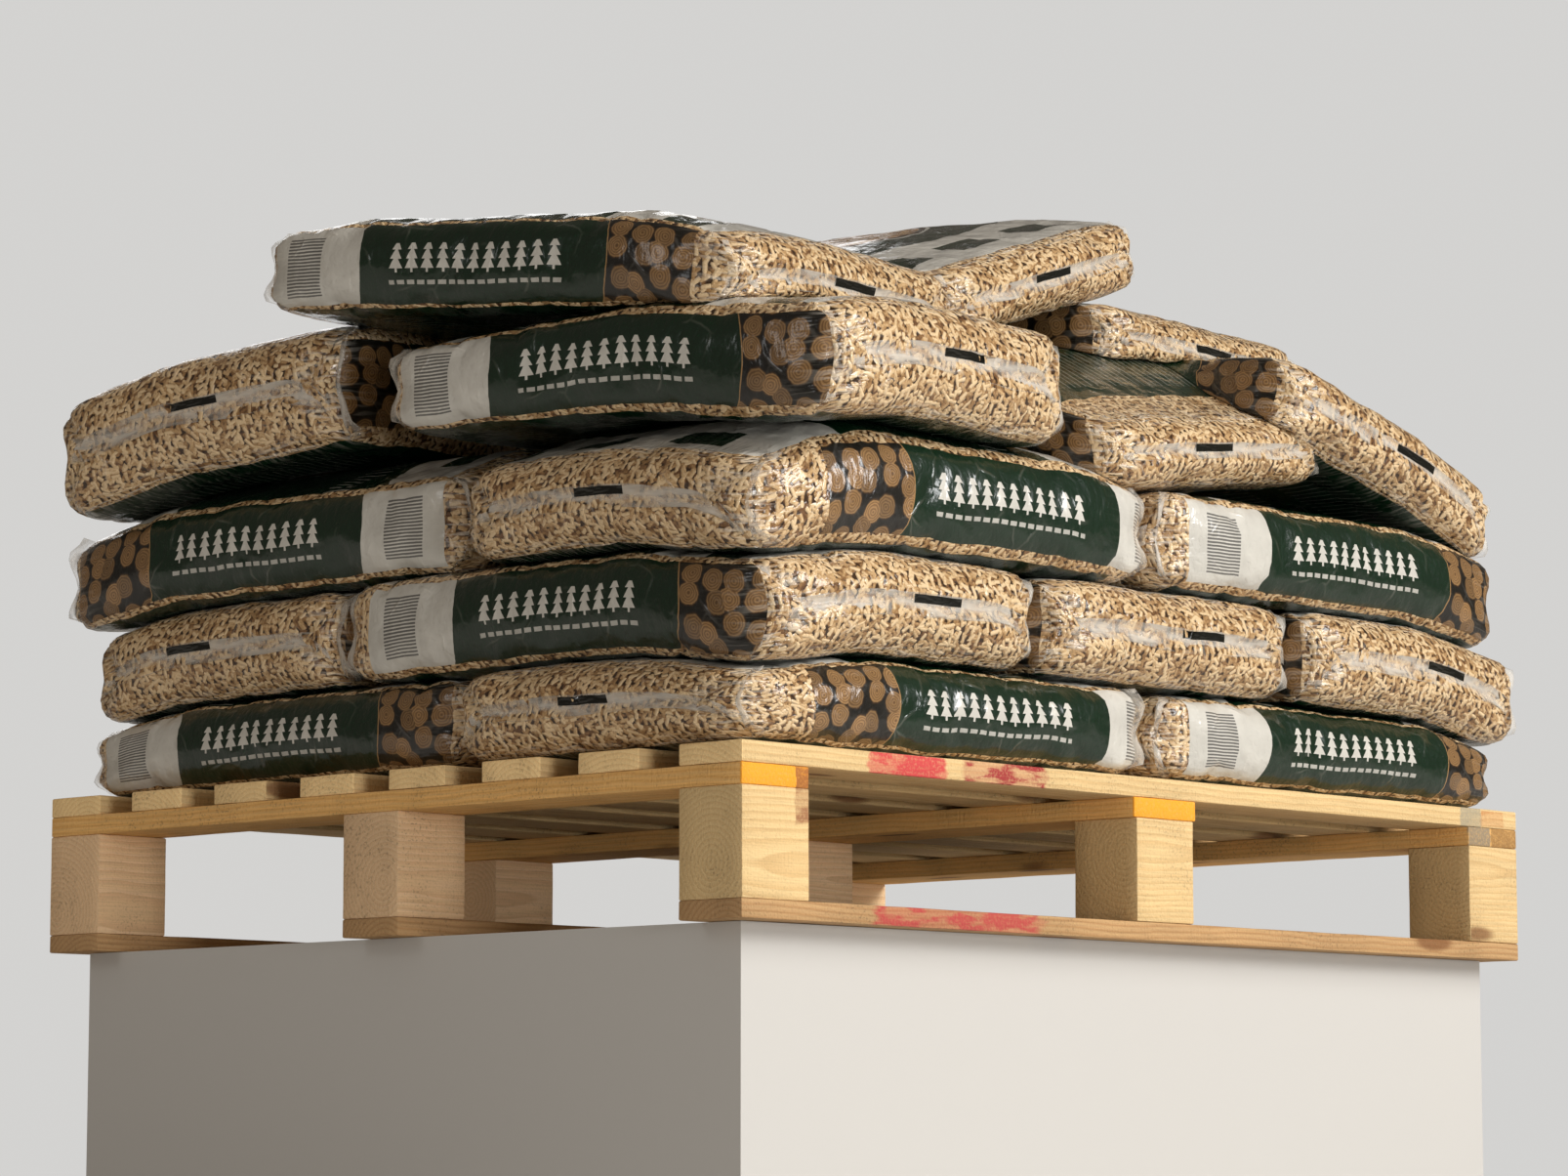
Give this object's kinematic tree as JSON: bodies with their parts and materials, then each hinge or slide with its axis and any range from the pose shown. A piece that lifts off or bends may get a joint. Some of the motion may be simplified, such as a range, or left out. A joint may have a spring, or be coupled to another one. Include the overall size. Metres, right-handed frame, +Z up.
{
  "type": "pallet of sacks",
  "caption": "Timber block pallet piled with clear plastic sacks of wood pellets in interlocked layers, with a loose top layer; fork openings on all sides.",
  "frame": {"origin": "centre of the pallet's underside, on the middle bottom board", "axes": "+X along the pallet's 1200 mm side, +Y along its 1000 mm side, +Z up"},
  "size_m": [1.257, 1.1244, 0.7773],
  "materials": {
    "pallet_timber": "rough-sawn pine, pale and dry",
    "sack_film": "clear glossy polyethylene film over tan wood pellets, printed in green, brown and white"
  },
  "bodies": {
    "root": {"block_back_left": "pallet_timber", "block_back_middle": "pallet_timber", "block_back_right": "pallet_timber", "block_front_left": "pallet_timber", "block_front_middle": "pallet_timber", "block_front_right": "pallet_timber", "block_middle_left": "pallet_timber", "block_middle_middle": "pallet_timber", "block_middle_right": "pallet_timber", "bottom_board_back": "pallet_timber", "bottom_board_front": "pallet_timber", "bottom_board_middle": "pallet_timber", "deck_board_1": "pallet_timber", "deck_board_2": "pallet_timber", "deck_board_3": "pallet_timber", "deck_board_4": "pallet_timber", "deck_board_5": "pallet_timber", "deck_board_6": "pallet_timber", "deck_board_7": "pallet_timber", "deck_board_8": "pallet_timber", "sack_1_back_left": "sack_film", "sack_1_back_middle": "sack_film", "sack_1_back_right": "sack_film", "sack_1_front_left": "sack_film", "sack_1_front_right": "sack_film", "sack_2_back_left": "sack_film", "sack_2_back_right": "sack_film", "sack_2_front_left": "sack_film", "sack_2_front_middle": "sack_film", "sack_2_front_right": "sack_film", "sack_3_back_left": "sack_film", "sack_3_back_middle": "sack_film", "sack_3_back_right": "sack_film", "sack_3_front_left": "sack_film", "sack_3_front_right": "sack_film", "sack_4_back_left": "sack_film", "sack_4_back_right": "sack_film", "sack_4_front_left": "sack_film", "sack_4_front_middle": "sack_film", "sack_4_front_right": "sack_film", "sack_5_back_right": "sack_film", "sack_5_front_left": "sack_film", "sack_5_front_middle": "sack_film", "sack_5_front_right": "sack_film", "stringer_board_left": "pallet_timber", "stringer_board_middle": "pallet_timber", "stringer_board_right": "pallet_timber"}
  },
  "joints": []
}
